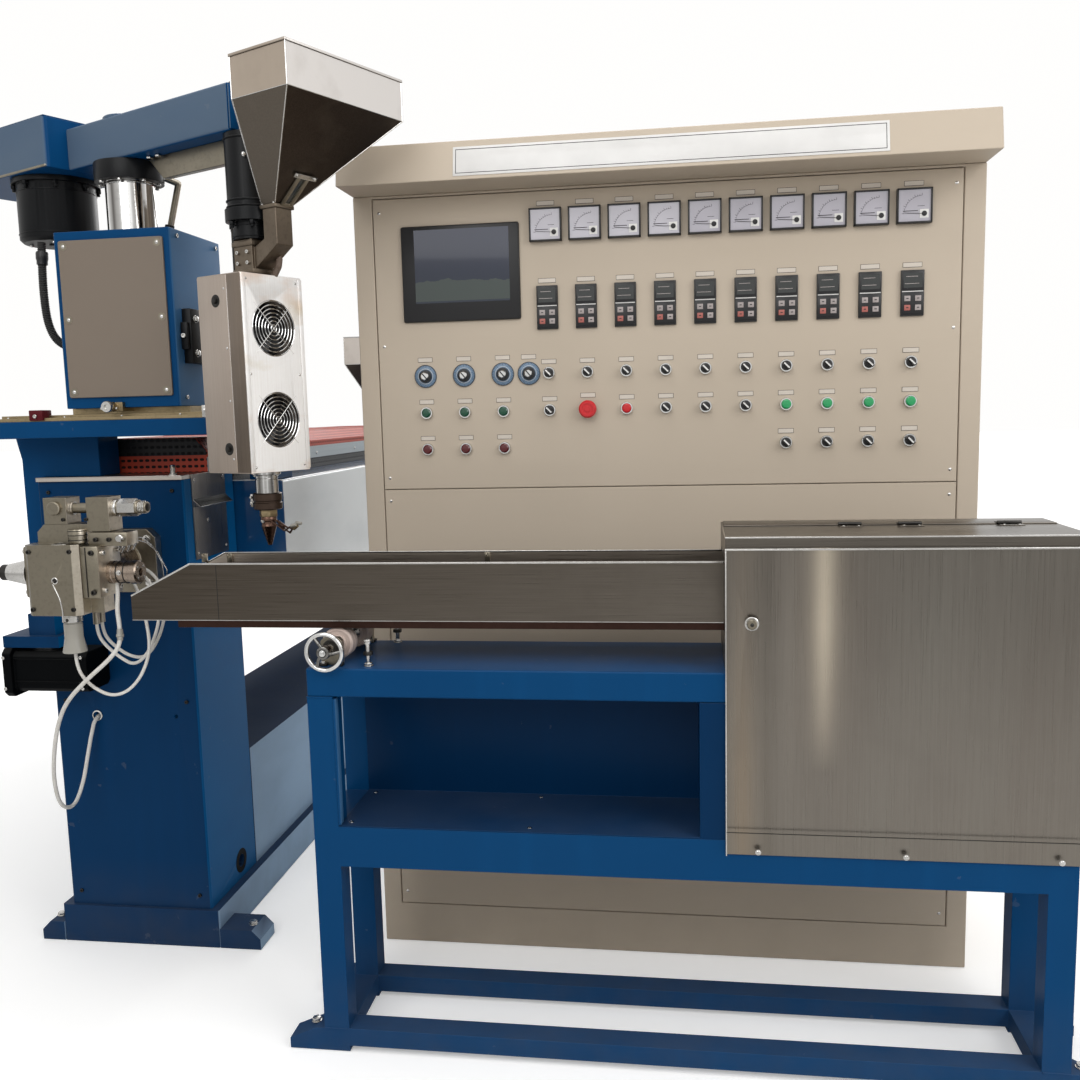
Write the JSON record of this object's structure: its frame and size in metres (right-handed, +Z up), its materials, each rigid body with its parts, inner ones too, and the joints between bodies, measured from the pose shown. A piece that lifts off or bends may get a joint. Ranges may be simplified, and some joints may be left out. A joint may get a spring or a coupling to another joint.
{
  "type": "cable extrusion line with swing-arm side extruder, control cabinet and cooling trough",
  "caption": "Plastic extruder for cable: blue bed with crosshead, swing-arm side extruder with hopper and fans, beige control cabinet, cooling trough and splash tank on a table.",
  "frame": {"origin": "on the floor, under the middle of the extruder's front pedestal", "axes": "+X the way the cable runs, from the crosshead to the tank; +Y back along the extruder; +Z up"},
  "size_m": [2.5887, 3.3684, 2.02],
  "materials": {
    "blue_paint": "deep blue gloss enamel",
    "cabinet_paint": "beige powder coat, satin",
    "stainless": "brushed stainless sheet",
    "machined_steel": "ground and machined steel",
    "chrome": "hard chrome",
    "brass": "dull brass",
    "black_casting": "black enamelled casting",
    "orange_guard": "orange-red perforated guard",
    "black_plastic": "black instrument plastic",
    "white_nylon": "white nylon",
    "fibreglass": "white braided glass-fibre sleeve",
    "ceramic": "pale ceramic",
    "rubber": "black flexible conduit"
  },
  "bodies": {
    "machine": {"base_frame": "blue_paint", "front_pedestal": "blue_paint", "drip_plate": "stainless", "side_plate": "stainless", "machine_bed": "blue_paint", "barrel_guard": "orange_guard", "gearbox": "blue_paint", "feed_throat": "machined_steel", "main_hopper": "stainless", "barrel_end": "machined_steel", "head_body": "machined_steel", "head_clamp": "machined_steel", "head_fittings": "machined_steel", "ceramic_plug": "ceramic", "side_motor": "black_casting", "plate_supports": "blue_paint", "top_plate": "blue_paint", "guide_rail": "brass", "cabinet_body": "cabinet_paint", "cabinet_hood": "cabinet_paint", "instrument_panel": "cabinet_paint", "lower_panel": "cabinet_paint", "touch_screen": "black_plastic", "panel_meters": "black_plastic", "panel_controllers": "black_plastic", "panel_switches": "black_plastic", "table_legs": "blue_paint", "table_top": "blue_paint", "table_tray": "blue_paint", "roller_brackets": "machined_steel", "tank_box": "stainless", "front_panel": "stainless", "lid_rear": "stainless", "long_lead": "fibreglass", "front_lead": "fibreglass", "side_lead": "fibreglass", "back_lead": "fibreglass", "sensor_lead": "fibreglass"},
    "carriage": {"column_saddle": "machined_steel", "column_box": "blue_paint", "box_cover": "cabinet_paint", "conduit": "rubber"},
    "lift": {"lift_column": "chrome"},
    "arm": {"swing_arm": "blue_paint", "arm_gusset": "machined_steel", "belt_box": "blue_paint", "arm_motor": "black_casting", "screw_housing": "black_casting", "feed_block": "machined_steel", "arm_hopper": "stainless", "fan_box": "stainless", "fan_guards": "chrome", "arm_nozzle": "machined_steel"},
    "trough": {"cooling_trough": "stainless"},
    "hand_drive": {"roller_set": "white_nylon", "handwheel": "chrome"},
    "lid": {"lid_flap": "stainless"}
  },
  "joints": [
    {"name": "column_slide", "type": "slide", "parent": "machine", "child": "carriage", "axis": [1, 0, 0], "range_m": [-0.045, 0.045]},
    {"name": "arm_lift", "type": "slide", "parent": "carriage", "child": "lift", "axis": [0, 0, 1], "range_m": [0, 0.15]},
    {"name": "arm_swing", "type": "hinge", "parent": "lift", "child": "arm", "pos_m": [0.095, -0.05, 1.875], "axis": [0, 0, 1], "range_deg": [-60, 5]},
    {"name": "trough_run", "type": "slide", "parent": "machine", "child": "trough", "axis": [1, 0, 0], "range_m": [0, 0.3]},
    {"name": "handwheel_turn", "type": "hinge", "parent": "machine", "child": "hand_drive", "pos_m": [0.655, -0.3, 0.8406], "axis": [0, 1, 0], "range_deg": [0, 538.1]},
    {"name": "lid_hinge", "type": "hinge", "parent": "machine", "child": "lid", "pos_m": [1.736, -0.287, 1.058], "axis": [-1, 0, 0], "range_deg": [0, 85]}
  ],
  "couplings": [
    {"joint": "handwheel_turn", "follows": "trough_run", "rad_per_m": 31.25}
  ]
}
